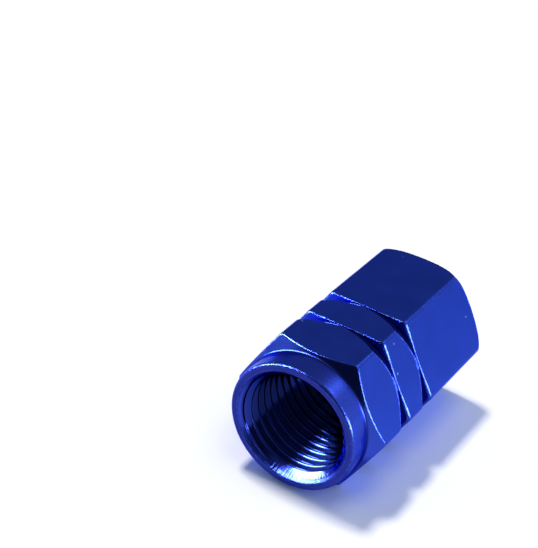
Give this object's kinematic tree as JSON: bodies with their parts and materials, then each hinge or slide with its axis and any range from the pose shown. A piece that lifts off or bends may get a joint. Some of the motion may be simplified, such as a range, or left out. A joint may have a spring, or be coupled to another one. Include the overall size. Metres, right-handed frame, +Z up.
{
  "type": "tyre valve cap",
  "caption": "Blue anodised aluminium hexagon cap with a round neck, turned grooves and a blind threaded hole, which screws onto a tyre's valve stem to keep dirt out.",
  "frame": {"origin": "under the middle of the cap, on the surface that its lowest flat rests on", "axes": "+Y along the cap's axis from the open mouth to the closed end, +Z up, +X to the right when the mouth faces the viewer"},
  "size_m": [0.0114, 0.0172, 0.01],
  "materials": {
    "blue_anodised": "blue anodised, satin flats and finely turned cones, neck and grooves"
  },
  "bodies": {
    "root": {"valve_cap": "blue_anodised"}
  },
  "joints": []
}
